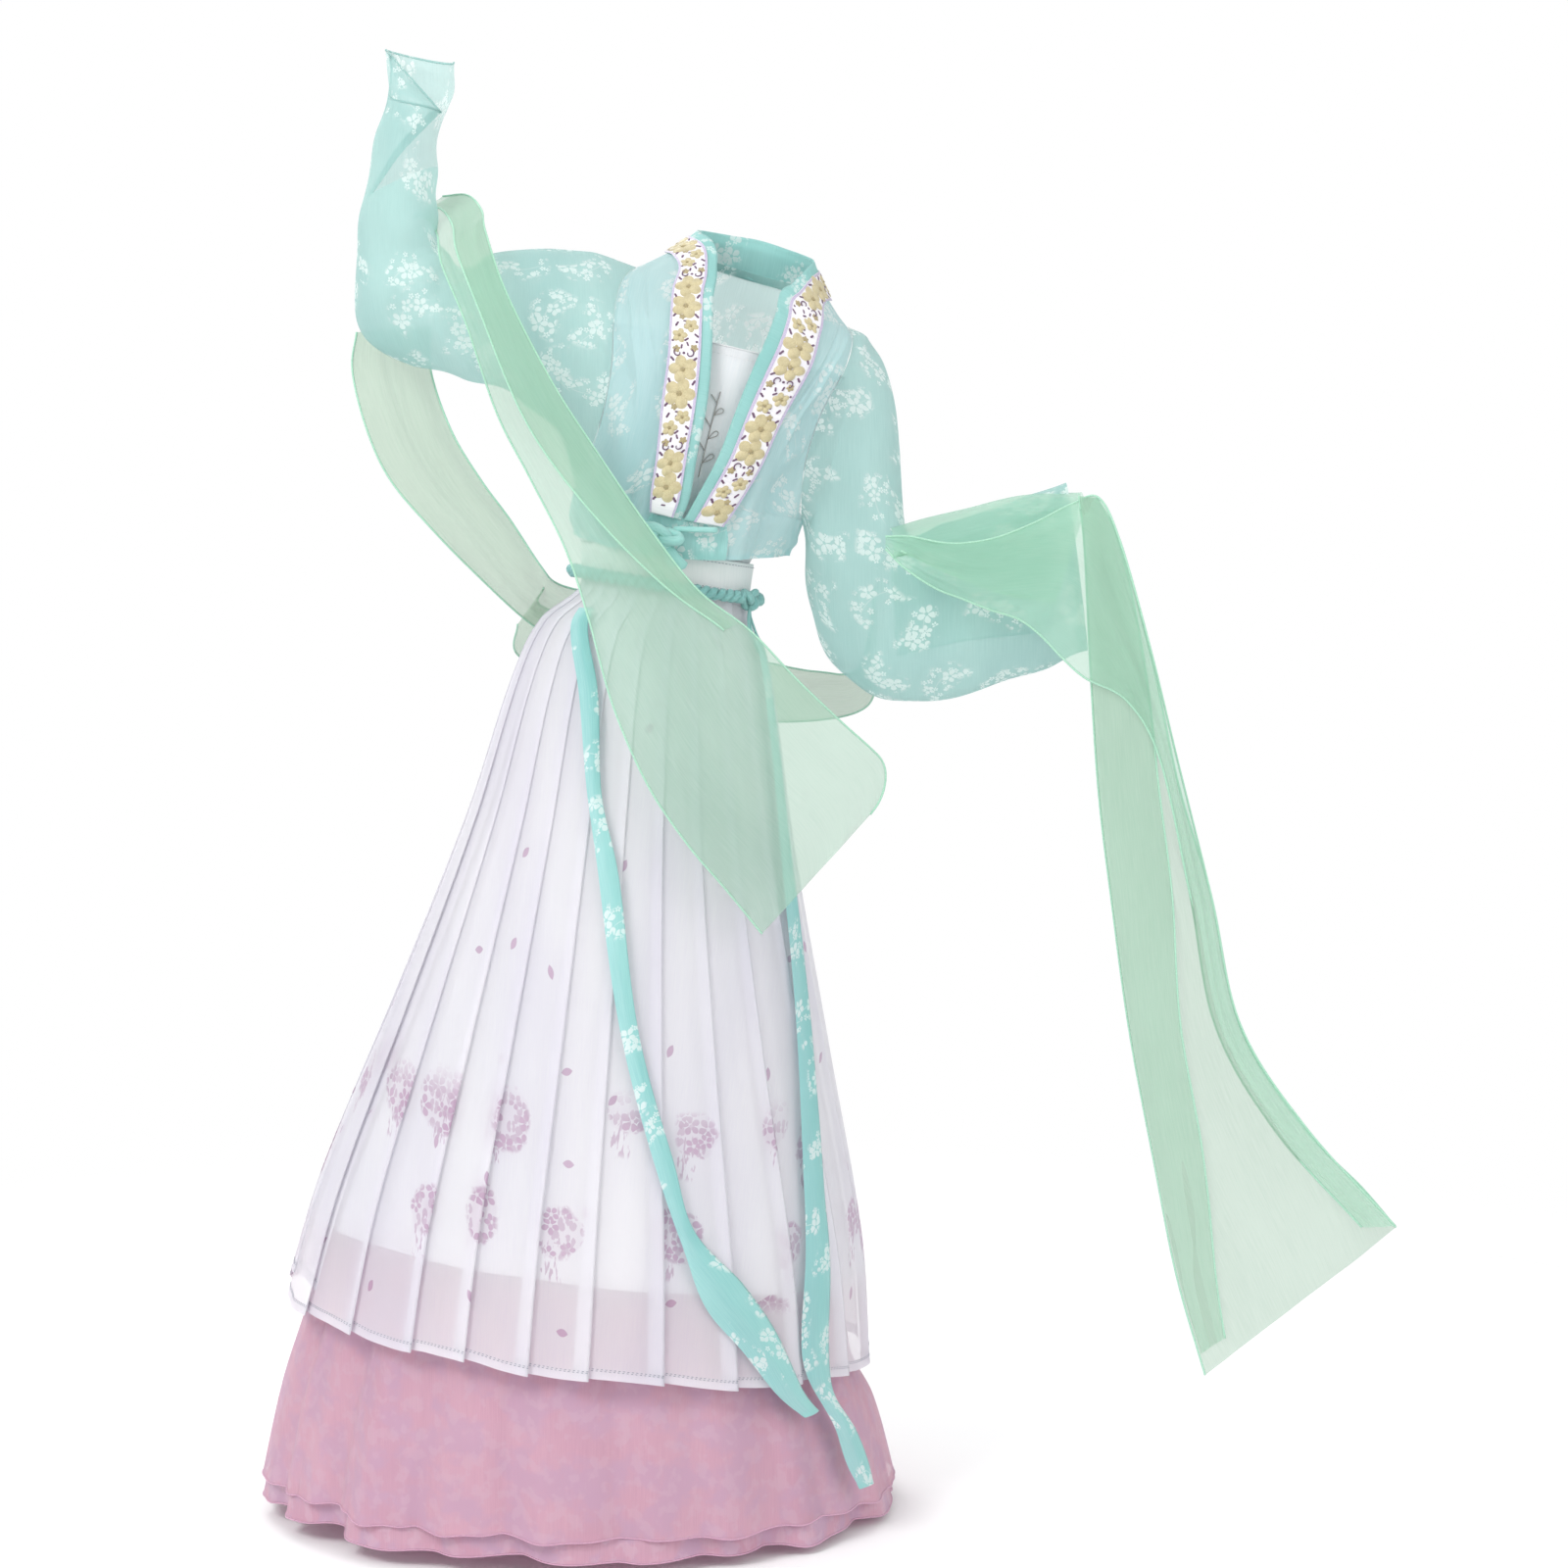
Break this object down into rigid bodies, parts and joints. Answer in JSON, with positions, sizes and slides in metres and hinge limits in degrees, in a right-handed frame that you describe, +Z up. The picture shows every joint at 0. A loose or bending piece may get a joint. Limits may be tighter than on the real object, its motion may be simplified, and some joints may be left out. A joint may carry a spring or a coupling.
{
  "type": "hanfu robe, worn set with scarf",
  "caption": "Sheer hanfu worn set: short tied jacket with wide sleeves and embroidered collar, camisole, pleated wrap skirt over an underskirt, cord belt and long scarf.",
  "frame": {"origin": "centre of the waistband's top edge, where the wearer carries the skirt", "axes": "+Z up, the garment's front toward -Y, +X to the wearer's left"},
  "size_m": [1.2064, 0.584, 1.5363],
  "materials": {
    "jacket_cloth": "sheer aqua chiffon with small white blossoms",
    "collar_ribbon": "white woven ribbon with gold flowers and purple leaves",
    "camisole_cloth": "smooth matte white",
    "skirt_cloth": "sheer white chiffon, printed near the hem",
    "lining_cloth": "soft white lining",
    "underskirt_cloth": "sheer dusty pink chiffon",
    "belt_cloth": "twisted and flat aqua ribbon",
    "scarf_cloth": "sheer mint chiffon"
  },
  "bodies": {
    "root": {"jacket_back": "jacket_cloth", "jacket_front_right": "jacket_cloth", "jacket_front_left": "jacket_cloth", "jacket_tie_tab": "jacket_cloth", "sleeve_right": "jacket_cloth", "sleeve_left": "jacket_cloth", "collar_band": "jacket_cloth", "collar_trim": "collar_ribbon", "camisole": "camisole_cloth", "waistband": "skirt_cloth", "skirt_front": "skirt_cloth", "skirt_back": "skirt_cloth", "skirt_lining": "lining_cloth", "underskirt": "underskirt_cloth", "underskirt_lining": "underskirt_cloth", "belt_cord": "belt_cloth", "belt_knot": "belt_cloth", "jacket_knot": "belt_cloth", "ribbon_right": "belt_cloth", "ribbon_left": "belt_cloth", "scarf_front_tail": "scarf_cloth", "scarf_back_loop": "scarf_cloth", "scarf_back": "scarf_cloth", "scarf_arm_drape": "scarf_cloth", "scarf_left_tail": "scarf_cloth"}
  },
  "joints": []
}
